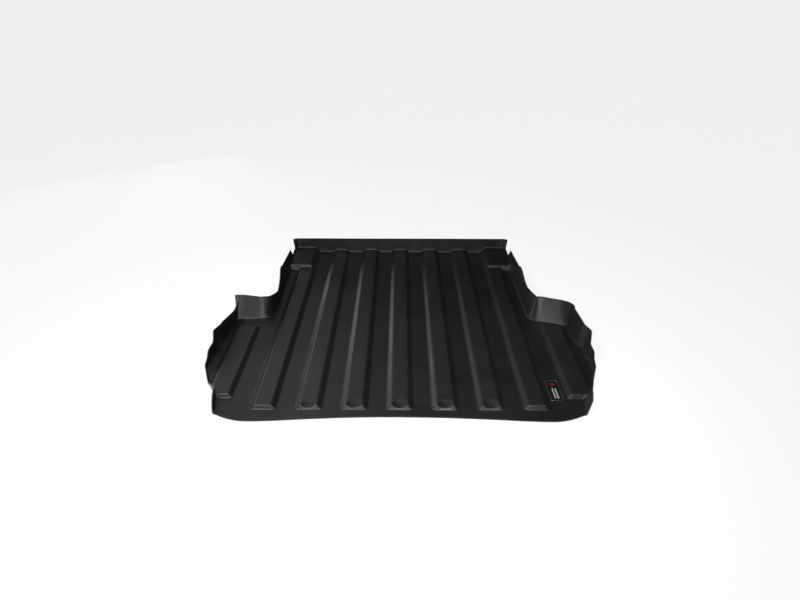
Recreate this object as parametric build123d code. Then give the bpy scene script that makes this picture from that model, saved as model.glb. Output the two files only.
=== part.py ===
from build123d import *
from math import atan, degrees, sqrt
import os

# A moulded bed liner mat for a mid-size pickup with a five-foot box, with the badge fitted on it.
#
# The frame is the mat's own: +X to the right, +Y towards the cab, +Z up, millimetres, with the
# origin under the middle of the mat on the surface it rests on. The mat is one sheet of even
# thickness. It has a floor pressed into long hollow ribs, an upstand against the bulkhead, an
# upstand along each wheel arch, a wrap that climbs the arch's rear, and a low stepped upstand
# behind the arch. It is made as the difference of two cavities, one bounded by the sheet's
# outside and one by its inside, and is then trimmed to the cut edge.

# ---- driving dimensions --------------------------------------------------------------------
LENGTH = 1549.0            # from the front upstand's outer face to the rearmost cut edge
FRONT_Y = LENGTH / 2
REAR_Y = -LENGTH / 2
SHEET = 3.5                # thickness of the moulded sheet

UPSTAND = 83.5             # height of the front upstand
ARCH_X = 569.0             # half of the floor's width between the wheel arches
ARCH_LEAN = 0.31           # run per rise of the upstand along the arch
SIDE_LEAN = 0.22           # the same for the upstand behind the arch
WRAP_LEAN = 0.45           # and for the wrap, which leans forwards
ARCH_R = 60.0              # plan radius around the rear corner of the arch
WRAP_R = 20.0              # between the wrap and the upstand behind it

# Foot of the right wrap, and of the upstand behind it from front to rear: two steps outwards,
# then in to the tailgate opening.
WRAP_INNER = (611, -42)
WRAP_OUTER = (713, -72)
SIDE_FOOT = [
    (731, 120), (734, -240), (757, -275), (744, -343), (757, -373), (753, -448), (702, -575),
    (664, -645), (660, -700),
]
SIDE_R = 22.0

RIB_COUNT = 7
RIB_PITCH = 162.0
RIB_WIDTH = 94.8           # at its foot
RIB_HEIGHT = 13.0
RIB_RUN = 16.0             # plan width of its sloping side
RIB_REAR_Y = REAR_Y + 64.0
RIB_CORNER_R = 10.0
RIB_EDGE_R = 5.0

SIDE_RIB_X = 660.0         # one short rib behind each arch
SIDE_RIB_WIDTH = 104.0
SIDE_RIB_FRONT_Y = -98.0
SIDE_RIB_REAR_Y = -642.0

PAD_HEIGHT = 26.0          # a raised pad in each front corner
PAD_RUN = 22.0
PAD_INNER_X = 444.0
PAD_REAR_Y = 523.0

SCOOP_R = 28.0             # a round scoop in the rear end of each of the middle ribs
SCOOP_DEPTH = 7.0
SCOOP_Y = RIB_REAR_Y + 28.0

RELIEF_X = 580.0           # the front corners are cut away around the truck's tie-down rings
RELIEF_Y = 644.0
RELIEF_Z = 33.0
RELIEF_R = 14.0

# The cut edge from front to rear, seen from the side, and from the middle to the right corner
# of the tailgate opening, seen from above.
TRIM_SIDE = [
    (RELIEF_Y + 10, UPSTAND), (RELIEF_Y - 10, 76), (440, 81), (395, 82), (370, 90), (330, 88),
    (230, 80), (156, 77), (80, 88), (10, 95), (-80, 99), (-235, 97), (-285, 85), (-350, 62),
    (-405, 30), (-455, 20), (-560, 15), (-605, 32), (-650, 43), (-705, 38), (-738, 12),
]
TRIM_R = 12.0
TRIM_REAR = [(0, -749), (150, -752), (330, -762), (440, -771), (540, REAR_Y)]
TRIM_CORNER = (645, -738)
TRIM_HEADING = (2, 1)      # the edge's direction there

BADGE_X = 570.0            # the badge's centre, on the floor near the right rear corner
BADGE_Y = -588.0
BADGE_WIDTH = 46.0
BADGE_LENGTH = 132.0
BADGE_R = 5.0
TAPE_INSET = 2.5
TAPE_T = 0.8
PLATE_T = 1.6
RIM_WIDTH = 2.2
RIM_T = 0.6
EMBLEM_R = 13.0
EMBLEM_Y = 40.0            # from the badge's centre, towards the cab
EMBLEM_T = 0.6
BAR_WIDTH = 5.0
BAR_LENGTH = 64.0
BAR_PITCH = 11.0
BAR_COUNT = 2
BAR_Y = -19.0
BAR_T = 0.4

# ---- construction solids ---------------------------------------------------------------------
REACH = 400.0              # how far the two spaces run past the tailgate edge
MARGIN = 60.0              # how far a cutter or a raised feature runs past what it meets
TALL = 200.0               # height of the spaces, before the trim
WING_START_X = 300.0       # where the space behind an arch starts, well between the arches
EDGE_SEARCH = 9.0          # how near its expected place an edge is looked for


def both_sides(shape):
    return shape + mirror(shape, about=Plane.YZ)


def block(x_low, x_high, y_low, y_high, z_low, z_high):
    """A plain box, given by its faces' positions."""
    size = (x_high - x_low, y_high - y_low, z_high - z_low)
    centre = ((x_low + x_high) / 2, (y_low + y_high) / 2, (z_low + z_high) / 2)
    return Pos(*centre) * Box(*size)


def raised(x_low, x_high, y_low, y_high, run, height, lift):
    """What a raised feature takes from the cavity: up to the sheet's underside with lift 0,
    and up to its visible face with lift SHEET. It starts a little below the floor."""
    grow = lift * (sqrt(run**2 + height**2) - run) / height
    start = 2.0
    sections = []
    for z, inset in ((-start, -start * run / height), (height, run)):
        width = x_high - x_low + 2 * (grow - inset)
        depth = y_high - y_low + 2 * (grow - inset)
        centre = ((x_low + x_high) / 2, (y_low + y_high) / 2, lift + z)
        sections.append(Pos(*centre) * RectangleRounded(width, depth, RIB_CORNER_R))
    shape = loft(sections)
    return fillet(shape.faces().sort_by(Axis.Z)[-1].edges(), RIB_EDGE_R)


def scoop(x, lift):
    """The ball that presses a scoop into a rib's rear end."""
    radius = (SCOOP_R**2 + SCOOP_DEPTH**2) / (2 * SCOOP_DEPTH)
    centre_z = SHEET + RIB_HEIGHT - SCOOP_DEPTH + radius
    return Pos(x, SCOOP_Y, centre_z) * Sphere(radius + SHEET - lift)


def raised_features(lift):
    """The floor's ribs and pads. The outermost long ribs stop at the pads, and the others run
    on to the front upstand."""
    found = []
    outermost = (RIB_COUNT - 1) // 2
    for place in range(-outermost, outermost + 1):
        x = place * RIB_PITCH
        sides = (x - RIB_WIDTH / 2, x + RIB_WIDTH / 2)
        if abs(place) == outermost:
            found.append(raised(*sides, RIB_REAR_Y, PAD_REAR_Y + MARGIN, RIB_RUN, RIB_HEIGHT, lift))
        else:
            rib = raised(*sides, RIB_REAR_Y, FRONT_Y + MARGIN, RIB_RUN, RIB_HEIGHT, lift)
            found.append(rib - scoop(x, lift))
    for side in (-1, 1):
        sides = (side * SIDE_RIB_X - SIDE_RIB_WIDTH / 2, side * SIDE_RIB_X + SIDE_RIB_WIDTH / 2)
        found.append(raised(*sides, SIDE_RIB_REAR_Y, SIDE_RIB_FRONT_Y, RIB_RUN, RIB_HEIGHT, lift))
        sides = sorted((side * PAD_INNER_X, side * (ARCH_X + 2 * MARGIN)))
        found.append(raised(*sides, PAD_REAR_Y, FRONT_Y + MARGIN, PAD_RUN, PAD_HEIGHT, lift))
    return found


def between_arches(grow, floor):
    """The space between the wheel arches, whose sides lean outwards."""
    def half_width(z):
        return ARCH_X + ARCH_LEAN * (z - SHEET) + grow * sqrt(1 + ARCH_LEAN**2)
    low, high = half_width(floor), half_width(floor + TALL)
    outline = Polyline((-low, 0), (low, 0), (high, TALL), (-high, TALL), close=True)
    front = FRONT_Y - SHEET + grow
    section = Plane((0, front, floor), x_dir=(1, 0, 0), z_dir=(0, -1, 0)) * make_face(outline)
    return extrude(section, front - REAR_Y + REACH, dir=(0, -1, 0))


def behind_arch(grow, floor):
    """The space behind the right wheel arch, up to the wrap."""
    start = (WING_START_X, SIDE_FOOT[0][1])
    end = [(SIDE_FOOT[-1][0], REAR_Y - REACH), (WING_START_X, REAR_Y - REACH)]
    plan = make_face(Polyline(start, *SIDE_FOOT, *end, close=True))
    bends = [v for v in plan.vertices() if v.X > start[0] + 1 and SIDE_FOOT[-1][1] - 1 < v.Y < 0]
    plan = fillet(bends, SIDE_R)
    spread = grow * sqrt(1 + SIDE_LEAN**2) + SIDE_LEAN * (floor - SHEET)
    plan = Pos(0, 0, floor) * offset(plan, amount=spread)
    space = extrude(plan, TALL, taper=-degrees(atan(SIDE_LEAN)))
    along = (Vector(*WRAP_OUTER) - Vector(*WRAP_INNER)).normalized()
    normal = along.cross(Vector(0, WRAP_LEAN, 1)) * -1
    face = Plane(Vector(*WRAP_INNER, SHEET) + normal.normalized() * grow, x_dir=along, z_dir=normal)
    return space - face * Pos(0, 0, REACH / 2) * Box(3 * REACH, 3 * REACH, REACH)


def steep_edges(space, x, y):
    """The edges that rise from near one point of the floor, on both sides."""
    def starts_there(edge):
        foot = edge.vertices().sort_by(Axis.Z)[0]
        return abs(abs(foot.X) - x) < EDGE_SEARCH and abs(foot.Y - y) < EDGE_SEARCH
    steep = [edge for edge in space.edges() if edge.bounding_box().size.Z > TALL / 2]
    return [edge for edge in steep if starts_there(edge)]


def cavity(grow, floor):
    """The space over the sheet's visible face with grow 0, or over its underside with SHEET."""
    space = between_arches(grow, floor) + both_sides(behind_arch(grow, floor))
    slope = (WRAP_OUTER[1] - WRAP_INNER[1]) / (WRAP_OUTER[0] - WRAP_INNER[0])
    arch_corner = WRAP_INNER[1] + slope * (ARCH_X - WRAP_INNER[0])
    side_corner = WRAP_INNER[1] + slope * (SIDE_FOOT[0][0] - WRAP_INNER[0])
    space = fillet(steep_edges(space, ARCH_X, arch_corner), ARCH_R - grow)
    return fillet(steep_edges(space, SIDE_FOOT[0][0], side_corner), WRAP_R + grow)


def trimmed(sheet):
    """Cuts the sheet to its edge: the upstands' tops, the tailgate edge and the front corners."""
    front, rear = FRONT_Y + MARGIN, REAR_Y - MARGIN
    top = [(front, UPSTAND), *TRIM_SIDE, (rear, TRIM_SIDE[-1][1])]
    outline = Polyline(*top, (rear, -MARGIN), (front, -MARGIN), close=True)
    profile = make_face(outline)
    bends = [v for v in profile.vertices() if REAR_Y < v.X < FRONT_Y]
    profile = fillet(bends, TRIM_R)
    sheet &= extrude(Plane.YZ * profile, LENGTH, both=True)
    edge = Spline(*TRIM_REAR, tangents=[(1, 0), (1, 0)])
    edge += Spline(TRIM_REAR[-1], TRIM_CORNER, tangents=[(1, 0), TRIM_HEADING])
    wide = LENGTH
    rest = Polyline(TRIM_CORNER, (wide, TRIM_CORNER[1]), (wide, front), (0, front), TRIM_REAR[0])
    half = make_face(edge + rest)
    sheet &= extrude(both_sides(half), TALL, both=True)
    relief = block(RELIEF_X, ARCH_X + 2 * MARGIN, RELIEF_Y, front, RELIEF_Z, TALL)
    rounded = [e for e in relief.edges() | Axis.X if e.center().Y < FRONT_Y and e.center().Z < TALL / 2]
    relief = fillet(rounded, RELIEF_R)
    return sheet - both_sides(relief)


def liner_mat():
    under, over = cavity(SHEET, 0), cavity(0, SHEET)
    return trimmed((under - raised_features(0)) - (over - raised_features(SHEET)))


def badge():
    """The badge's pieces, from the adhesive pad on the floor up to the inlays."""
    place = Pos(BADGE_X, BADGE_Y, SHEET)
    outline = RectangleRounded(BADGE_WIDTH, BADGE_LENGTH, BADGE_R)
    tape = extrude(offset(outline, amount=-TAPE_INSET), TAPE_T)
    plate = Pos(0, 0, TAPE_T) * extrude(outline, PLATE_T)
    top = Pos(0, 0, TAPE_T + PLATE_T)
    rim = top * extrude(outline - offset(outline, amount=-RIM_WIDTH), RIM_T)
    emblem = top * Pos(0, EMBLEM_Y) * extrude(RegularPolygon(EMBLEM_R, 6), EMBLEM_T)
    bars = [
        top * Pos((place_x - (BAR_COUNT - 1) / 2) * BAR_PITCH, BAR_Y)
        * extrude(SlotOverall(BAR_LENGTH, BAR_WIDTH, rotation=90), BAR_T)
        for place_x in range(BAR_COUNT)
    ]
    pieces = {"badge_tape": tape, "badge_plate": plate, "badge_rim": rim, "badge_emblem": emblem}
    pieces["badge_bars"] = Compound(children=bars)
    return {name: place * piece for name, piece in pieces.items()}


os.makedirs("parts", exist_ok=True)
for name, piece in {"liner_mat": liner_mat(), **badge()}.items():
    export_step(piece, f"parts/{name}.step")
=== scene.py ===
"""The moulded bed liner mat: one flexible ribbed sheet, and the badge that is stuck on it.

The sheet is built as one surface, its visible face, and thickened downwards. Its floor is a grid
that takes its height from the ribs, pads and scoops. Its upstand is a strip that starts in a
rounded foot along the floor's outline and rises to the cut edge. The mat's and the badge's sizes are
in millimetres, in the CAD's frame, until a mesh is made. The materials' and the studio's are in metres.
"""

import math

import bpy
import numpy as np
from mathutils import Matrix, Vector, geometry, kdtree, noise


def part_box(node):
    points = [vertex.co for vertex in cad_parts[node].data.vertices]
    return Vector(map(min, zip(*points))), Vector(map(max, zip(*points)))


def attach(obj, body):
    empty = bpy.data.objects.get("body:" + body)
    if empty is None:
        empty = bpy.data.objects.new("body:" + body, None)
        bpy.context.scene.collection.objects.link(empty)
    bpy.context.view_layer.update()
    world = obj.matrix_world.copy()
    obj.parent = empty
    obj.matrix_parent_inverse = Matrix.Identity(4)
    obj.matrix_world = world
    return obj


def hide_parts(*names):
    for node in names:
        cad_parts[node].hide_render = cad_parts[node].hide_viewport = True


MM = 0.001
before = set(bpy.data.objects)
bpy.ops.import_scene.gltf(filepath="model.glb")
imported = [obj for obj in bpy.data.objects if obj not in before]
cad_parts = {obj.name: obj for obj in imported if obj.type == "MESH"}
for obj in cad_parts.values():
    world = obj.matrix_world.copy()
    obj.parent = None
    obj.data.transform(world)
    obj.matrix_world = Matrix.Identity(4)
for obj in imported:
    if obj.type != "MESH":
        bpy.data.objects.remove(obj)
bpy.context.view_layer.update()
mat_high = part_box("liner_mat")[1] / MM

# ---- the sheet's floor ---------------------------------------------------------------------
SHEET = 3.5
FLOOR_Z = SHEET
FRONT_Y = mat_high.y - SHEET

RIB_PITCH = 162.0
RIB_PLACES = range(-3, 4)
RIB_HALF = 38.5            # half of a rib's width, halfway up its sides
RIB_HEIGHT = 13.0
RIB_RUN = 18.0             # plan width of a rib's sloping side
RIB_END_RUN = 12.0
RIB_REAR_Y = -704.5        # a rib's rear end, halfway up
CORNER_SHARE = 0.9         # rounding of a raised block in plan, as a share of its slope's run
SOFT_SHARE = 0.22          # rounding of its foot and shoulder, as a share of the run
OVERRUN = 200.0            # takes the ribs and pads well past the floor's edge
BLEND_POWER = 8            # how sharply blocks that overlap meet

SIDE_RIB_X = 660.0
SIDE_RIB_HALF = 44.0
SIDE_RIB_ENDS = (-635.0, -106.0)

PAD_INNER_X = 455.0        # the front corners' pads, halfway up
PAD_REAR_Y = 528.0
PAD_HEIGHT = 26.0
PAD_RUN = 22.0
PAD_END_RUN = 12.0

SCOOP_Y = -700.0           # a scoop's lowest place
SCOOP_R = 29.0
SCOOP_LENGTH = 41.0        # how far it runs forward from there
SCOOP_TAIL = 66.0          # how gently it rises behind, through the rib's rear end
SCOOP_DEPTH = 9.0
SCOOP_SEAM = 2.5           # how softly a scoop's lip meets its rib
SCOOP_LIMIT = 2.0          # beyond this many times its size a scoop changes nothing

# The tailgate edge, from the middle to where the side upstand begins.
REAR_EDGE = [(0, -749), (150, -752), (330, -762), (440, -771), (540, -774.5), (592, -763), (628, -747)]
REAR_STEP = 6.0

# The floor's grid, along x and along y: its limits, its wide spacing, and how far from the middle of a
# slope it stays fine.
GRID_FINE = 3.0
GRID_X = dict(low=-760.0, high=760.0, coarse=14, reach=14)
GRID_Y = dict(low=-780.0, high=FRONT_Y, coarse=20, reach=13)
SCOOP_FINE = (15.0, 38.0)  # places in front of a scoop's lowest that need the fine spacing

# ---- the upstand ---------------------------------------------------------------------------
FRONT_CORNER = (569.0, FRONT_Y - 2.5)
FRONT_R = 16.0
FRONT_TOP = 80.0
FRONT_WRAP = 14.0          # how far the front upstand's full height follows the corner round
FRONT_LEAN = 0.03
FRONT_SPLIT = 400.0        # where along the front the sides' stations begin
FOOT_R = 8.0
LEAST_RISE = 6.0           # least height of the upstand over the floor at its foot
END_TOP = 5.0              # under this height the upstand is running out to nothing
END_RISE = 0.6             # the least height there

# Its foot along one side, from the front corner back: each bend, and about the radius there.
RIGHT_WRAP = [(569, -31), (731, -77)]
LEFT_WRAP = [(569, -18), (733, -32)]
SIDE_PATH = [
    (734, -238), (757, -276), (744, -343), (757, -375), (753, -448), (712, -560), (668, -640),
    (660, -690), (652, -738),
]
SIDE_RADII = [60, 20, 16, 14, 20, 12, 40, 60, 40, 40]
BEND_SHARE = 0.48          # most of a straight that the curve at one of its ends may use
BEND_POINTS = 9

# Height of the cut edge above the floor, by the place along the mat.
RIGHT_TOP = [
    (760, 32), (656, 32), (646, 40), (638, 66), (566, 70), (440, 77), (395, 79), (372, 87), (330, 85),
    (230, 77), (156, 76), (90, 87), (20, 99), (-40, 104), (-84, 102), (-110, 95), (-235, 93),
    (-285, 82), (-350, 59), (-405, 27), (-455, 17), (-560, 18), (-605, 30), (-650, 41), (-695, 36),
    (-720, 22), (-738, 1),
]
LEFT_TOP = [
    (760, 32), (656, 32), (646, 40), (638, 66), (566, 70), (440, 77), (395, 79), (372, 87), (330, 84),
    (230, 74), (156, 66), (110, 74), (60, 85), (0, 92), (-22, 92), (-29, 103), (-36, 106), (-44, 96),
    (-60, 78), (-85, 70), (-120, 74), (-200, 80), (-240, 86), (-285, 78), (-350, 59), (-405, 27),
    (-455, 17), (-560, 18), (-605, 34), (-650, 52), (-695, 48), (-720, 30), (-738, 1),
]
# Outward run of the upstand for each unit of its height, by the place along the mat.
RIGHT_LEAN = [
    (760, 0.31), (640, 0.31), (80, 0.31), (0, 0.36), (-45, 0.42), (-68, 0.34), (-80, 0.2),
    (-100, 0.18), (-235, 0.24), (-540, 0.24), (-620, 0.6), (-700, 0.55), (-738, 0.3),
]
LEFT_LEAN = [
    (760, 0.31), (640, 0.25), (330, 0.22), (150, -0.05), (110, -0.13), (60, -0.05), (20, 0.15),
    (-10, 0.33), (-29, 0.36), (-33, 0.1), (-40, -0.25), (-85, -0.2), (-120, -0.14), (-200, 0.05),
    (-300, 0.0), (-540, 0.06), (-640, -0.06), (-738, 0.0),
]
# Extra run towards the front, where the left wrap is pushed forward at its outer corner.
LEFT_PUSH = [
    (0, 0.0), (-29, 0.0), (-33, 0.25), (-40, 0.57), (-46, 0.5), (-56, 0.25), (-80, 0.08), (-130, 0.0),
]

STATION_STEP = 5.0
ARC_ROWS = 5               # rows of faces in the rounded foot
WALL_ROWS = 9              # rows of faces above it

# ---- how unevenly the flexible sheet lies ----------------------------------------------------
LIFT = 1.1
LIFT_LENGTH = 260.0
LIFT_SLICE = 3.7           # which slice of the noise is used
LEAN_WOBBLE = 0.035
WOBBLE_LENGTH = 170.0
WOBBLE_SLICE = 1.3
SIDE_SLICE = 5.0           # how far apart in the noise the two sides are
BADGE_CLEAR = 80.0         # no lift this close to the badge's middle, and all of it twice as far

RIM_ROUND = 0.9            # rounding of the sheet's cut edges
RIM_ANGLE = 50.0           # edges that bend more than this many degrees are rounded
NEAR_RIM = 2.6             # floor points this close to the foot are left out
WELD = 1e-6                # points this close are one


def ramp(t, soft=SOFT_SHARE):
    """Rises from 0 to 1 as t does, with its ends rounded off."""
    low = np.clip(t, -soft, soft)
    high = np.clip(t - 1, -soft, soft)
    rise = np.clip(t, soft, None) - soft - (np.clip(t - 1, soft, None) - soft)
    return rise + (low + soft) ** 2 / (4 * soft) - (high + soft) ** 2 / (4 * soft)


def raised(x, y, centre, half, y_low, y_high, height, run, end_run):
    """Height of a raised block with sloping sides and rounded corners."""
    across = (half - np.abs(x - centre)) / run + 0.5
    along = np.minimum(y - y_low, y_high - y) / end_run + 0.5
    short = np.hypot(np.clip(CORNER_SHARE - across, 0, None), np.clip(CORNER_SHARE - along, 0, None))
    beyond = np.clip(np.minimum(across, along) - CORNER_SHARE, 0, None)
    return height * ramp(CORNER_SHARE - short + beyond)


def scooped(rib, x, y, centre):
    """The height of a rib with the round scoop pressed into its rear end."""
    reach = np.where(y > SCOOP_Y, SCOOP_LENGTH, SCOOP_TAIL)
    off = np.hypot((x - centre) / SCOOP_R, (y - SCOOP_Y) / reach)
    bowl = RIB_HEIGHT - SCOOP_DEPTH * (1 - off**2)
    seam = np.clip(SCOOP_SEAM - np.abs(rib - bowl), 0, None) ** 2 / (4 * SCOOP_SEAM)
    return np.where(off < SCOOP_LIMIT, np.minimum(rib, bowl) - seam, rib)


def floor_height(x, y):
    """Height of the visible face above the flat of the floor."""
    beyond = FRONT_Y + OVERRUN
    blocks = []
    for place in RIB_PLACES:
        centre = place * RIB_PITCH
        rib = raised(x, y, centre, RIB_HALF, RIB_REAR_Y, beyond, RIB_HEIGHT, RIB_RUN, RIB_END_RUN)
        if abs(place) < max(RIB_PLACES):
            rib = scooped(rib, x, y, centre)
        blocks.append(rib)
    for side in (-1, 1):
        blocks.append(raised(
            x, y, side * SIDE_RIB_X, SIDE_RIB_HALF, *SIDE_RIB_ENDS, RIB_HEIGHT, RIB_RUN, RIB_END_RUN
        ))
        blocks.append(raised(
            x, y, side * (PAD_INNER_X + OVERRUN), OVERRUN, PAD_REAR_Y, beyond,
            PAD_HEIGHT, PAD_RUN, PAD_END_RUN
        ))
    return np.sum(np.clip(blocks, 0, None) ** BLEND_POWER, axis=0) ** (1 / BLEND_POWER)


def lifted(x, y):
    """How far the sheet lifts off flat ground: always upwards, and not at all under the badge."""
    low, high = (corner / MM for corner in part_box("badge_plate"))
    field = np.array([
        noise.noise(Vector((a / LIFT_LENGTH, b / LIFT_LENGTH, LIFT_SLICE))) for a, b in zip(x, y)
    ])
    away = np.hypot(x - (low.x + high.x) / 2, y - (low.y + high.y) / 2) - BADGE_CLEAR
    return LIFT * np.clip(0.5 + field, 0, 1) * np.clip(away / BADGE_CLEAR, 0, 1)


def rounded(points, radii, step):
    """A polyline with its bends turned into smooth curves, as evenly spaced points."""
    corners = [np.array(p, float) for p in points]
    path = [corners[0]]
    for before, bend, after, radius in zip(corners, corners[1:], corners[2:], radii):
        back, ahead = before - bend, after - bend
        back_length, ahead_length = np.linalg.norm(back), np.linalg.norm(ahead)
        back, ahead = back / back_length, ahead / ahead_length
        half_angle = 0.5 * math.acos(float(np.clip(back @ ahead, -1, 1)))
        longest = BEND_SHARE * min(back_length, ahead_length)
        cut = min(radius / math.tan(half_angle), longest)
        for t in np.linspace(0, 1, BEND_POINTS):
            arm = (1 - t) ** 2 * back + t**2 * ahead
            path.append(bend + cut * arm)
    path.append(corners[-1])
    path = np.array(path)
    length = np.concatenate([[0], np.cumsum(np.linalg.norm(np.diff(path, axis=0), axis=1))])
    even = np.linspace(0, length[-1], int(length[-1] / step) + 1)
    return np.stack([np.interp(even, length, path[:, k]) for k in (0, 1)], axis=1)


def smooth_line(points, step):
    """A smooth curve through the points, which stops one step short of the last."""
    p = np.array(points, float)
    p = np.concatenate([[2 * p[0] - p[1]], p, [2 * p[-1] - p[-2]]])
    curve = []
    for a, b, c, d in zip(p, p[1:], p[2:], p[3:]):
        for t in np.linspace(0, 1, max(2, int(np.linalg.norm(c - b) / step)), endpoint=False):
            curve.append(0.5 * (
                2 * b + (c - a) * t + (2 * a - 5 * b + 4 * c - d) * t**2 + (3 * b - a - 3 * c + d) * t**3
            ))
    return np.array(curve)


def by_place(table, y):
    """Reads a table of (place along the mat, value), which runs from the front back."""
    places, values = zip(*reversed(table))
    return np.interp(y, places, values)


def side_stations(side):
    """Foot, outward normal, lean, push and top of the upstand, from FRONT_SPLIT round one side."""
    corner_x, corner_y = FRONT_CORNER
    wrap = RIGHT_WRAP if side > 0 else LEFT_WRAP
    outline = [(FRONT_SPLIT, corner_y), (corner_x, corner_y), *wrap, *SIDE_PATH]
    path = rounded(outline, [FRONT_R, *SIDE_RADII], STATION_STEP)
    along = np.gradient(path, axis=0)
    normal = np.stack([-along[:, 1], along[:, 0]], axis=1)
    normal /= np.linalg.norm(normal, axis=1)[:, None]
    y = path[:, 1]
    tops, leans = (RIGHT_TOP, RIGHT_LEAN) if side > 0 else (LEFT_TOP, LEFT_LEAN)
    turned = np.clip((corner_y - y) / FRONT_R, 0, 1)
    lean = FRONT_LEAN + (by_place(leans, y) - FRONT_LEAN) * turned
    wobble = np.array([
        noise.noise(Vector((side * SIDE_SLICE, k * STATION_STEP / WOBBLE_LENGTH, WOBBLE_SLICE)))
        for k in range(len(y))
    ])
    lean = lean + LEAN_WOBBLE * wobble * turned
    push = by_place(LEFT_PUSH, y) if side < 0 else np.zeros(len(y))
    top = np.where(y > corner_y - FRONT_WRAP, FRONT_TOP, by_place(tops, y))
    return path * (side, 1), normal * (side, 1), lean, push, top


def all_stations():
    """Stations of the whole upstand, from the right rear corner round the front to the left."""
    right, left = side_stations(1), side_stations(-1)
    across = np.arange(FRONT_SPLIT - STATION_STEP, -FRONT_SPLIT, -STATION_STEP)
    count = len(across)
    front = (
        np.stack([across, np.full(count, FRONT_CORNER[1])], axis=1),
        np.tile([0.0, 1.0], (count, 1)),
        np.full(count, FRONT_LEAN),
        np.zeros(count),
        np.full(count, FRONT_TOP),
    )
    return [np.concatenate([r[::-1], m, l]) for r, m, l in zip(right, front, left)]


def upstand():
    """Points of the upstand's visible face, as an array of (station, row, xyz)."""
    foot, normal, lean, push, top = all_stations()
    tilt = np.arctan(lean)
    turn = math.pi / 2 - tilt
    reach = FOOT_R * np.tan(turn / 2)
    inner = foot - normal * reach[:, None]
    base = floor_height(*inner.T)
    start = foot + normal * (lean * base)[:, None]
    base = floor_height(*(start - normal * reach[:, None]).T)
    rise = np.maximum(top - base, np.where(top > END_TOP, LEAST_RISE, END_RISE))
    arc_length = FOOT_R * turn
    arc_rise = FOOT_R * (1 - np.cos(turn))
    in_arc = FOOT_R * np.arccos(1 - np.minimum(rise, arc_rise) / FOOT_R)
    length = np.where(rise < arc_rise, in_arc, arc_length + (rise - arc_rise) / np.cos(tilt))
    rows = ARC_ROWS + WALL_ROWS
    bend_length = np.minimum(arc_length, length * ARC_ROWS / rows)
    points = []
    for row in range(rows + 1):
        if row <= ARC_ROWS:
            s = bend_length * row / ARC_ROWS
        else:
            s = bend_length + (length - bend_length) * (row - ARC_ROWS) / WALL_ROWS
        angle = np.minimum(s, arc_length) / FOOT_R
        wall = np.clip(s - arc_length, 0, None)
        out = -reach + FOOT_R * np.sin(angle) + wall * np.sin(tilt)
        up = FOOT_R * (1 - np.cos(angle)) + wall * np.cos(tilt)
        xy = start + normal * out[:, None]
        xy[:, 1] += push * wall * np.cos(tilt)
        points.append(np.column_stack([xy, base + up]))
    return np.array(points).transpose(1, 0, 2)


def inside(loop, x, y):
    """Which of the points lie inside the closed loop."""
    result = np.zeros(x.shape, bool)
    for (ax, ay), (bx, by) in zip(loop, np.roll(loop, -1, axis=0)):
        if ay == by:
            continue
        crosses = (ay > y) != (by > y)
        result ^= crosses & (x < (bx - ax) * (y - ay) / (by - ay) + ax)
    return result


def grid_lines(places, low, high, coarse, reach):
    """Coordinates from low until high is passed, close together near the places."""
    lines = [low]
    while lines[-1] < high:
        near = min(abs(lines[-1] + 0.5 * GRID_FINE - place) for place in places)
        lines.append(lines[-1] + min(coarse, max(GRID_FINE, near - reach)))
    return np.array(lines)


def floor_grid():
    """Grid coordinates of the floor, close together where it slopes."""
    slopes = [-PAD_INNER_X, PAD_INNER_X]
    for place in RIB_PLACES:
        slopes += [place * RIB_PITCH - RIB_HALF, place * RIB_PITCH + RIB_HALF]
    for centre in (-SIDE_RIB_X, SIDE_RIB_X):
        slopes += [centre - SIDE_RIB_HALF, centre + SIDE_RIB_HALF]
    ends = [RIB_REAR_Y, PAD_REAR_Y, *SIDE_RIB_ENDS]
    ends += [SCOOP_Y + forward for forward in SCOOP_FINE]
    return grid_lines(slopes, **GRID_X), grid_lines(ends, **GRID_Y)


def strip_faces(stations, rows):
    """Faces of the upstand, between each station and the next."""
    faces = []
    for k in range(stations - 1):
        for row in range(rows - 1):
            a, b = k * rows + row, (k + 1) * rows + row
            faces.append((a, a + 1, b + 1, b))
    return faces


def kept_points(loop, gx, gy):
    """Which points of the grid lie inside the floor's outline and not too near it."""
    tree = kdtree.KDTree(len(loop))
    for k, (x, y) in enumerate(loop):
        tree.insert((x, y, 0), k)
    tree.balance()
    keep = inside(loop, gx, gy)
    for i, j in zip(*np.nonzero(keep)):
        keep[i, j] = tree.find((gx[i, j], gy[i, j], 0))[2] > NEAR_RIM
    return keep


def full_cells(keep, loop, x_lines, y_lines):
    """Which cells of the grid have all their corners and no point of the outline in or near them."""
    full = keep[:-1, :-1] & keep[1:, :-1] & keep[:-1, 1:] & keep[1:, 1:]
    for x, y in loop:
        i, i_end = np.searchsorted(x_lines, (x - NEAR_RIM, x + NEAR_RIM))
        j, j_end = np.searchsorted(y_lines, (y - NEAR_RIM, y + NEAR_RIM))
        full[max(i - 1, 0):i_end, max(j - 1, 0):j_end] = False
    return full


def cell_faces(full, ids):
    """A face for each full cell, and the edges that only one of them has."""
    faces = []
    seams = set()
    for i, j in zip(*np.nonzero(full)):
        corners = [int(k) for k in (ids[i, j], ids[i + 1, j], ids[i + 1, j + 1], ids[i, j + 1])]
        faces.append(tuple(corners))
        for pair in zip(corners, corners[1:] + corners[:1]):
            seams ^= {tuple(sorted(pair))}
    return faces, seams


def between_points(keep, full):
    """Which kept points of the grid aren't wholly surrounded by full cells."""
    around = np.zeros(keep.shape, int)
    for di in (0, 1):
        for dj in (0, 1):
            around[di:di + full.shape[0], dj:dj + full.shape[1]] += full
    return keep & (around < 4)


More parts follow.
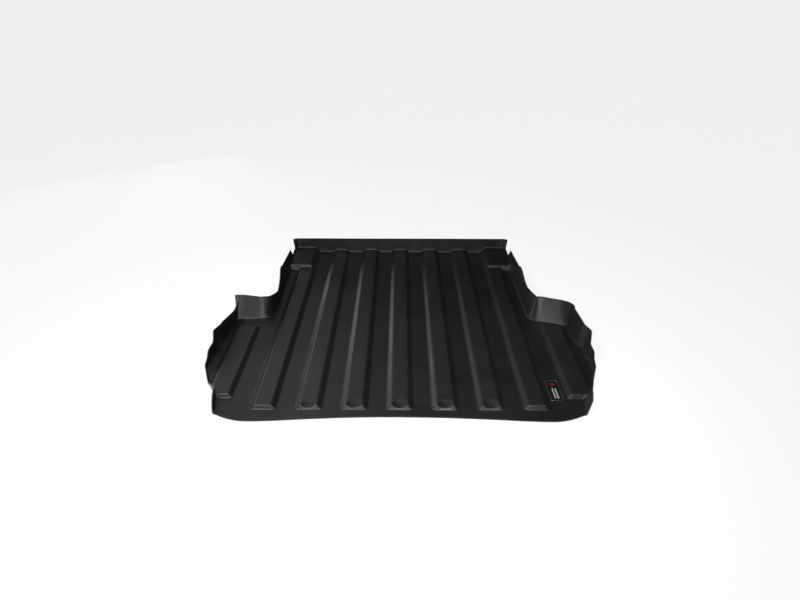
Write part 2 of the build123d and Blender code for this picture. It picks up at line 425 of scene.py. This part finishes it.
def sheet_mesh():
    """Vertices and faces of the sheet's visible face: the upstand, the grid, and what joins them."""
    strip = upstand()
    stations, rows = strip.shape[:2]
    half = smooth_line(REAR_EDGE, REAR_STEP)
    rear = np.concatenate([half[:0:-1] * (-1, 1), half])
    rear = np.column_stack([rear, floor_height(*rear.T)])
    verts = [*strip.reshape(-1, 3), *rear]
    loop_ids = [k * rows for k in range(stations)] + [stations * rows + k for k in range(len(rear))]
    loop = np.array([verts[k][:2] for k in loop_ids])

    x_lines, y_lines = floor_grid()
    gx, gy = np.meshgrid(x_lines, y_lines, indexing="ij")
    keep = kept_points(loop, gx, gy)
    gz = floor_height(gx, gy)
    ids = np.full(gx.shape, -1)
    for i, j in zip(*np.nonzero(keep)):
        ids[i, j] = len(verts)
        verts.append((gx[i, j], gy[i, j], gz[i, j]))
    full = full_cells(keep, loop, x_lines, y_lines)
    grid_faces, seams = cell_faces(full, ids)
    faces = strip_faces(stations, rows) + grid_faces

    ring_ids = loop_ids + [int(k) for k in ids[between_points(keep, full)]]
    places = {k: place for place, k in enumerate(ring_ids)}
    edges = [(k, (k + 1) % len(loop_ids)) for k in range(len(loop_ids))]
    edges += [(places[a], places[b]) for a, b in sorted(seams)]
    flat = [Vector(verts[k][:2]) for k in ring_ids]
    _, _, triangles, origins, _, _ = geometry.delaunay_2d_cdt(flat, edges, [], 0, WELD)
    middles = np.array([sum((flat[origins[k][0]] for k in t), Vector((0, 0))) / 3 for t in triangles])
    in_loop = inside(loop, *middles.T)
    i = np.searchsorted(x_lines, middles[:, 0]) - 1
    j = np.searchsorted(y_lines, middles[:, 1]) - 1
    for t, wanted, a, b in zip(triangles, in_loop, i, j):
        in_grid = 0 <= a < full.shape[0] and 0 <= b < full.shape[1]
        if wanted and not (in_grid and full[a, b]):
            faces.append(tuple(ring_ids[origins[k][0]] for k in t))
    verts = np.array(verts)
    verts[:, 2] += FLOOR_Z + lifted(verts[:, 0], verts[:, 1])
    return verts * MM, faces


def new_piece(name, verts, faces):
    mesh = bpy.data.meshes.new(name)
    mesh.from_pydata([tuple(v) for v in verts], [], [tuple(int(k) for k in f) for f in faces])
    mesh.validate()
    mesh.shade_smooth()
    piece = bpy.data.objects.new(name, mesh)
    bpy.context.scene.collection.objects.link(piece)
    return piece


def make_mat():
    mat = new_piece("bed_mat", *sheet_mesh())
    thick = mat.modifiers.new("sheet", "SOLIDIFY")
    thick.thickness = SHEET * MM
    thick.offset = -1
    thick.material_offset_rim = 1
    rim = mat.modifiers.new("rim", "BEVEL")
    rim.width = RIM_ROUND * MM
    rim.segments = 2
    rim.limit_method = "ANGLE"
    rim.angle_limit = math.radians(RIM_ANGLE)
    rim.harden_normals = True
    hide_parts("liner_mat")
    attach(mat, "root")
    return mat


# ---- the badge -------------------------------------------------------------------------------
CORNER_R = 5.0
CORNER_STEPS = 8
TAPE_CORNER_R = 4.0
TAPE_WAIST = 0.5           # how much narrower the foam pad is halfway up
WAIST_CORNER_R = 3.8
RIM_WIDTH = 2.2
EMBLEM_DOME = 0.25
EMBLEM_SHOULDER = 0.8      # the hexagon's rings, as shares of its radius
EMBLEM_LIP = 0.45
EMBLEM_DISH = 0.38
BAR_WIDTH = 5.0
BAR_ROUND = 0.45           # its corner radius, as a share of its width

# How far each piece's edges are softened.
SOFT_FINE = 0.12
SOFT_PLATE = 0.4
SOFT_BORDER = 0.22
SOFT_BAR = 0.2


def box_centre(node):
    """Middle of a CAD node's box, its size, and its lowest and highest level."""
    low, high = (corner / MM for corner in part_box(node))
    return (low + high) / 2, high - low, low.z, high.z


def rounded_box(centre, width, length, radius):
    """Outline of a rectangle with round corners, counterclockwise."""
    outline = []
    for sx, sy, start in ((1, 1, 0), (-1, 1, 90), (-1, -1, 180), (1, -1, 270)):
        x, y = centre.x + sx * (width / 2 - radius), centre.y + sy * (length / 2 - radius)
        for k in range(CORNER_STEPS + 1):
            angle = math.radians(start + 90 * k / CORNER_STEPS)
            outline.append((x + radius * math.cos(angle), y + radius * math.sin(angle)))
    return outline


def hexagon(centre, radius):
    angles = [math.radians(30 + 60 * k) for k in range(6)]
    return [(centre.x + radius * math.cos(a), centre.y + radius * math.sin(a)) for a in angles]


def stack(name, rings, edge):
    """A closed solid through rings of (outline, level), first to last, with its edges softened."""
    count = len(rings[0][0])
    verts = [(x * MM, y * MM, z * MM) for outline, z in rings for x, y in outline]
    faces = [tuple(reversed(range(count))), tuple(range(len(verts) - count, len(verts)))]
    for ring in range(len(rings) - 1):
        for k in range(count):
            a, b = ring * count + k, ring * count + (k + 1) % count
            faces.append((a, b, b + count, a + count))
    return soften(new_piece(name, verts, faces), edge)


def soften(piece, edge):
    bevel = piece.modifiers.new("edge", "BEVEL")
    bevel.width = edge * MM
    bevel.segments = 3
    bevel.limit_method = "ANGLE"
    bevel.harden_normals = True
    return piece


def frame_strip(name, outer, inner, low, high, edge):
    """A closed loop of rectangular section between two outlines with as many points each."""
    count = len(outer)
    rings = [(outer, low), (outer, high), (inner, high), (inner, low)]
    verts = [(x * MM, y * MM, z * MM) for outline, z in rings for x, y in outline]
    faces = []
    for ring in range(4):
        for k in range(count):
            a, b = ring * count + k, ring * count + (k + 1) % count
            faces.append((a, b, (b + count) % len(verts), (a + count) % len(verts)))
    return soften(new_piece(name, verts, faces), edge)


def make_badge():
    """The badge's pieces, by the CAD node that each stands for."""
    made = {}
    centre, size, low, high = box_centre("badge_tape")
    outline = rounded_box(centre, size.x, size.y, TAPE_CORNER_R)
    waist = rounded_box(centre, size.x - TAPE_WAIST, size.y - TAPE_WAIST, WAIST_CORNER_R)
    rings = [(outline, low), (waist, (low + high) / 2), (outline, high)]
    made["badge_tape"] = stack("tape_pad", rings, SOFT_FINE)
    centre, size, low, high = box_centre("badge_plate")
    outline = rounded_box(centre, size.x, size.y, CORNER_R)
    made["badge_plate"] = stack("badge_face", [(outline, low), (outline, high)], SOFT_PLATE)
    centre, size, low, high = box_centre("badge_rim")
    outer = rounded_box(centre, size.x, size.y, CORNER_R)
    inner = rounded_box(centre, size.x - 2 * RIM_WIDTH, size.y - 2 * RIM_WIDTH, CORNER_R - RIM_WIDTH)
    made["badge_rim"] = frame_strip("badge_border", outer, inner, low, high, SOFT_BORDER)
    centre, size, low, high = box_centre("badge_emblem")
    radius = size.y / 2
    levels = [
        (1, low), (1, high - EMBLEM_DOME), (EMBLEM_SHOULDER, high), (EMBLEM_LIP, high),
        (EMBLEM_DISH, high - EMBLEM_DOME),
    ]
    rings = [(hexagon(centre, share * radius), level) for share, level in levels]
    made["badge_emblem"] = stack("badge_mark", rings, SOFT_FINE)
    centre, size, low, high = box_centre("badge_bars")
    bars = []
    for side in (-1, 1):
        middle = Vector((centre.x + side * (size.x - BAR_WIDTH) / 2, centre.y, 0))
        outline = rounded_box(middle, BAR_WIDTH, size.y, BAR_ROUND * BAR_WIDTH)
        bars.append(stack(f"badge_bar_{len(bars) + 1}", [(outline, low), (outline, high)], SOFT_BAR))
    made["badge_bars"] = bars
    return made


# ---- materials -------------------------------------------------------------------------------
RUBBER_DARK = (0.007, 0.007, 0.0071)
RUBBER_BLOOM = (0.012, 0.012, 0.0122)
RUBBER_SPECK = (0.05, 0.05, 0.05)
# Painted light: the ribs' tops are mixed towards this paler tone, so the grooves look shaded.
RUBBER_PAINTED_TOPS = (0.03, 0.03, 0.0305)
RUBBER_ROUGHNESS = (0.36, 0.47)
PEBBLE_SCALE = 520.0
# How strongly a height is painted paler, where 0.5 is the tops of the ribs: painted light on the tops,
# against painted shade in the grooves.
PAINTED_TOPS_BAND = [(0.4, 0.0), (0.48, 0.3), (0.56, 0.3), (0.75, 0.0)]
# The cut edge's tones are a painted highlight: far paler than the rubber, so the rim reads as a bright
# line.
RIM_HIGHLIGHT_DIM = (0.05, 0.05, 0.05)
RIM_HIGHLIGHT_BRIGHT = (0.11, 0.11, 0.11)
FLOOR_GREY = (0.19, 0.19, 0.19)
FLOOR_PALE = (0.21, 0.21, 0.21)
FLOOR_GLOW = 0.86          # also how bright the world looks to the camera


def material(name, colour, roughness, metallic=0.0, specular=0.5):
    """A new material, its node tree and its shader, with the constants already set."""
    made = bpy.data.materials.new(name)
    made.use_nodes = True
    tree = made.node_tree
    shader = tree.nodes["Principled BSDF"]
    shader.inputs["Base Color"].default_value = (*colour, 1)
    shader.inputs["Roughness"].default_value = roughness
    shader.inputs["Metallic"].default_value = metallic
    shader.inputs["Specular IOR Level"].default_value = specular
    return made, tree, shader


def add_noise(tree, scale, detail=3.0, roughness=0.5):
    """Smooth noise from 0 to 1 over the object's own coordinates."""
    coords = tree.nodes.new("ShaderNodeTexCoord")
    texture = tree.nodes.new("ShaderNodeTexNoise")
    texture.inputs["Scale"].default_value = scale
    texture.inputs["Detail"].default_value = detail
    texture.inputs["Roughness"].default_value = roughness
    tree.links.new(coords.outputs["Object"], texture.inputs["Vector"])
    return texture.outputs["Fac"]


def add_range(tree, value, before, after=(0.0, 1.0)):
    """The value, with the range before turned into the range after."""
    mapped = tree.nodes.new("ShaderNodeMapRange")
    for socket, number in zip(("From Min", "From Max", "To Min", "To Max"), (*before, *after)):
        mapped.inputs[socket].default_value = number
    tree.links.new(value, mapped.inputs["Value"])
    return mapped.outputs["Result"]


def add_mix(tree, factor, first, second):
    mix = tree.nodes.new("ShaderNodeMix")
    mix.data_type = "RGBA"
    tree.links.new(factor, mix.inputs["Factor"])
    for socket, value in ((mix.inputs["A"], first), (mix.inputs["B"], second)):
        if isinstance(value, tuple):
            socket.default_value = (*value, 1)
        else:
            tree.links.new(value, socket)
    return mix.outputs["Result"]


def add_bump(tree, height, distance, strength, below=None):
    bump = tree.nodes.new("ShaderNodeBump")
    bump.inputs["Distance"].default_value = distance
    bump.inputs["Strength"].default_value = strength
    tree.links.new(height, bump.inputs["Height"])
    if below is not None:
        tree.links.new(below, bump.inputs["Normal"])
    return bump.outputs["Normal"]


def add_painted_tops(tree):
    """Painted light on the rubber: paler at the height of the ribs' tops than in the grooves, as if the
    grooves lay in shade, and in patches.
    """
    coords = tree.nodes.new("ShaderNodeTexCoord")
    parts = tree.nodes.new("ShaderNodeSeparateXYZ")
    tree.links.new(coords.outputs["Object"], parts.inputs["Vector"])
    rib_top = (FLOOR_Z + RIB_HEIGHT) * MM
    height = add_range(tree, parts.outputs["Z"], (0.0, 2 * rib_top))
    band = tree.nodes.new("ShaderNodeValToRGB")
    band.color_ramp.elements[1].color = (0, 0, 0, 1)
    for place, value in PAINTED_TOPS_BAND:
        stop = band.color_ramp.elements.new(place)
        stop.color = (value, value, value, 1)
    tree.links.new(height, band.inputs["Fac"])
    patches = add_noise(tree, scale=14.0, detail=6.0, roughness=0.65)
    patchy = add_range(tree, patches, before=(0.3, 0.7), after=(0.45, 1.0))
    return add_mix(tree, patchy, (0.0, 0.0, 0.0), band.outputs["Color"])


def rubber_material():
    """Black moulded rubber: a fine pebbled grain, a faint bloom, pale specks, and the ribs' tops painted
    paler, painted light against the grooves' shade.
    """
    made, tree, shader = material("mat_rubber", colour=(0.02, 0.02, 0.021), roughness=0.5)
    bloom = add_range(tree, add_noise(tree, scale=3.5, detail=5.0, roughness=0.6), before=(0.35, 0.7))
    tone = add_mix(tree, bloom, RUBBER_DARK, RUBBER_BLOOM)
    specks = add_noise(tree, scale=420.0, detail=2.0)
    specks = add_range(tree, specks, before=(0.62, 0.8), after=(0.0, 0.5))
    specked = add_mix(tree, specks, tone, RUBBER_SPECK)
    # Painted light: the ribs' tops are painted paler than the grooves, in patches.
    painted_tops = add_painted_tops(tree)
    tree.links.new(add_mix(tree, painted_tops, specked, RUBBER_PAINTED_TOPS), shader.inputs["Base Color"])
    patches = add_noise(tree, scale=9.0, detail=4.0, roughness=0.55)
    rough = add_range(tree, patches, before=(0.3, 0.7), after=RUBBER_ROUGHNESS)
    tree.links.new(rough, shader.inputs["Roughness"])
    coords = tree.nodes.new("ShaderNodeTexCoord")
    pebble = tree.nodes.new("ShaderNodeTexVoronoi")
    pebble.feature = "SMOOTH_F1"
    pebble.inputs["Scale"].default_value = PEBBLE_SCALE
    tree.links.new(coords.outputs["Object"], pebble.inputs["Vector"])
    grain = add_bump(tree, pebble.outputs["Distance"], distance=0.00025, strength=0.35)
    uneven = add_bump(tree, add_noise(tree, scale=30.0), distance=0.0012, strength=0.25, below=grain)
    tree.links.new(uneven, shader.inputs["Normal"])
    return made


def cut_edge_material():
    """The sheet's trimmed edge: the same rubber, more matt, and painted paler, a painted highlight that
    shows the rim as a bright line.
    """
    made, tree, shader = material("mat_cut_edge", colour=(0.03, 0.03, 0.03), roughness=0.62, specular=0.4)
    # Painted highlight: the rim's tone is mixed between two pale greys.
    tone = add_mix(tree, add_noise(tree, scale=160.0), RIM_HIGHLIGHT_DIM, RIM_HIGHLIGHT_BRIGHT)
    tree.links.new(tone, shader.inputs["Base Color"])
    grain = add_bump(tree, add_noise(tree, scale=700.0), distance=0.0002, strength=0.4)
    tree.links.new(grain, shader.inputs["Normal"])
    return made


def badge_material(name, dark, light, roughness, scale, bump, metallic=0.0, coat=0.0, stretch=1.0):
    """A small part's finish: a colour that varies a little, over a fine texture."""
    made, tree, shader = material(name, light, roughness, metallic)
    shader.inputs["Coat Weight"].default_value = coat
    coords = tree.nodes.new("ShaderNodeTexCoord")
    mapping = tree.nodes.new("ShaderNodeMapping")
    mapping.inputs["Scale"].default_value = (1, 1 / stretch, 1)
    tree.links.new(coords.outputs["Object"], mapping.inputs["Vector"])
    texture = tree.nodes.new("ShaderNodeTexNoise")
    texture.inputs["Scale"].default_value = scale
    tree.links.new(mapping.outputs["Vector"], texture.inputs["Vector"])
    tree.links.new(add_mix(tree, texture.outputs["Fac"], dark, light), shader.inputs["Base Color"])
    spread = (roughness - 0.05, roughness + 0.08)
    rough = add_range(tree, texture.outputs["Fac"], before=(0.3, 0.7), after=spread)
    tree.links.new(rough, shader.inputs["Roughness"])
    grain = add_bump(tree, texture.outputs["Fac"], distance=bump * MM, strength=0.5)
    tree.links.new(grain, shader.inputs["Normal"])
    return made


def floor_material():
    """A plain pale floor. Most of its brightness is its own glow, so that it meets the world evenly."""
    made, tree, shader = material("studio_floor", colour=(0.8, 0.8, 0.8), roughness=0.7, specular=0.2)
    tone = add_mix(tree, add_noise(tree, scale=1.5), FLOOR_GREY, FLOOR_PALE)
    tree.links.new(tone, shader.inputs["Base Color"])
    shader.inputs["Emission Color"].default_value = (1, 1, 1, 1)
    shader.inputs["Emission Strength"].default_value = FLOOR_GLOW
    return made


# By node: the record's slot, then the finish, whose bump is in millimetres.
BADGE_FINISHES = {
    "badge_tape": ("tape", dict(
        dark=(0.012, 0.012, 0.012), light=(0.03, 0.03, 0.03),
        roughness=0.8, scale=1500, bump=0.1,
    )),
    "badge_plate": ("plate", dict(
        dark=(0.006, 0.006, 0.007), light=(0.011, 0.011, 0.012),
        roughness=0.3, scale=300, bump=0.01, coat=0.3,
    )),
    "badge_rim": ("rim", dict(
        dark=(0.42, 0.42, 0.43), light=(0.6, 0.6, 0.61),
        roughness=0.34, scale=1200, bump=0.01, metallic=1.0, stretch=12,
    )),
    "badge_emblem": ("emblem", dict(
        dark=(0.13, 0.006, 0.01), light=(0.22, 0.01, 0.017),
        roughness=0.3, scale=260, bump=0.01, coat=0.6,
    )),
    "badge_bars": ("bars", dict(
        dark=(0.4, 0.4, 0.39), light=(0.52, 0.52, 0.51),
        roughness=0.4, scale=350, bump=0.01,
    )),
}


def finish_badge(made):
    for node, pieces in made.items():
        slot, look = BADGE_FINISHES[node]
        finish = badge_material(node + "_finish", **look)
        for piece in pieces if isinstance(pieces, list) else [pieces]:
            piece.data.materials.append(finish)
            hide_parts(node)
            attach(piece, "root")


# ---- the studio --------------------------------------------------------------------------------
CAMERA_PLACE = (0.0007, -2.5956, 1.3630)
CAMERA_TILT = 63.82
CAMERA_YAW = 0.03
CAMERA_ROLL = 0.15
CAMERA_LENS = 29.25
SENSOR_WIDTH = 36.0

WORLD_FILL = 0.015
FLOOR_REACH = 60.0
# Name, place, target, diameter, spread in degrees and power in watts of each soft light.
LIGHTS = [
    ("low_left", (-3.4, -0.2, 0.7), (0, -0.2, 0), 1.2, 180, 14),
    ("behind_camera", (0.0, -2.9, 1.25), (0, -0.5, 0), 1.1, 60, 5.5),
    ("overhead", (-1.2, -0.9, 2.3), (-0.2, -0.6, 0), 1.0, 110, 11),
    ("over_the_rear", (0.3, -1.0, 2.5), (0.1, -0.7, 0), 1.0, 80, 6),
    ("over_the_front", (-0.9, 2.4, 2.6), (-0.2, -0.5, 0), 1.2, 180, 4.5),
    ("front_left", (-2.4, 2.0, 1.1), (0, -0.3, 0), 1.6, 180, 6),
    ("low_front_left", (-1.7, 2.8, 0.5), (0, -0.4, 0), 1.2, 70, 0.9),
]


def make_camera():
    camera = bpy.data.objects.new("camera", bpy.data.cameras.new("camera"))
    camera.data.lens = CAMERA_LENS
    camera.data.sensor_width = SENSOR_WIDTH
    camera.location = CAMERA_PLACE
    camera.rotation_euler = (math.radians(CAMERA_TILT), 0, math.radians(CAMERA_YAW))
    camera.rotation_euler.rotate_axis("Z", math.radians(CAMERA_ROLL))
    bpy.context.scene.collection.objects.link(camera)
    bpy.context.scene.camera = camera


def make_light(name, place, target, size, spread, power):
    light = bpy.data.lights.new(name, "AREA")
    light.shape = "DISK"
    light.size = size
    light.spread = math.radians(spread)
    light.energy = power
    lamp = bpy.data.objects.new(name, light)
    lamp.location = place
    lamp.visible_camera = False
    lamp.rotation_euler = (Vector(target) - Vector(place)).to_track_quat("-Z", "Y").to_euler()
    bpy.context.scene.collection.objects.link(lamp)


def make_world():
    """The world: as pale as the floor's glow to the camera, and a dim fill to everything else."""
    world = bpy.data.worlds.new("studio")
    world.use_nodes = True
    tree = world.node_tree
    background = tree.nodes["Background"]
    background.inputs["Color"].default_value = (1, 1, 1, 1)
    rays = tree.nodes.new("ShaderNodeLightPath")
    seen = rays.outputs["Is Camera Ray"]
    strength = add_range(tree, seen, before=(0, 1), after=(WORLD_FILL, FLOOR_GLOW))
    tree.links.new(strength, background.inputs["Strength"])
    bpy.context.scene.world = world


def make_studio():
    make_world()
    bpy.context.scene.view_settings.view_transform = "Standard"
    corners = [(x * FLOOR_REACH, y * FLOOR_REACH, 0) for x, y in ((-1, -1), (1, -1), (1, 1), (-1, 1))]
    floor = new_piece("studio_floor", corners, [(0, 1, 2, 3)])
    floor.data.materials.append(floor_material())
    for light in LIGHTS:
        make_light(*light)


make_camera()
make_studio()
bed_mat = make_mat()
bed_mat.data.materials.append(rubber_material())
bed_mat.data.materials.append(cut_edge_material())
finish_badge(make_badge())
